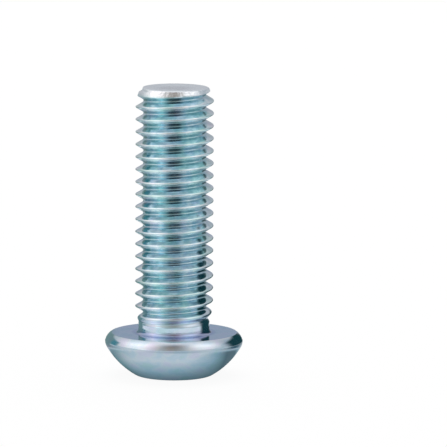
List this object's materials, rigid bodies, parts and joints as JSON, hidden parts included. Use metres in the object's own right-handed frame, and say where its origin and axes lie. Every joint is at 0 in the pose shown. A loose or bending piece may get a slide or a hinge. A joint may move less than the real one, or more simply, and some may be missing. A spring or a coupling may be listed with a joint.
{
  "type": "button head hexagon socket screw",
  "caption": "Button head machine screw, fully threaded, with a hexagon socket in the low domed head and a flat bearing face under it; bright blue zinc plating.",
  "frame": {"origin": "on the screw's axis, in the plane of the bearing face under the head", "axes": "+Z along the shank, from the head to the tip; the flats of the hexagon socket that face along Y are square to +Y"},
  "size_m": [0.0138, 0.0138, 0.0289],
  "materials": {
    "zinc_plated_steel": "bright zinc plating with a blue passivated tint"
  },
  "bodies": {
    "root": {"button_head_screw": "zinc_plated_steel"}
  },
  "joints": []
}
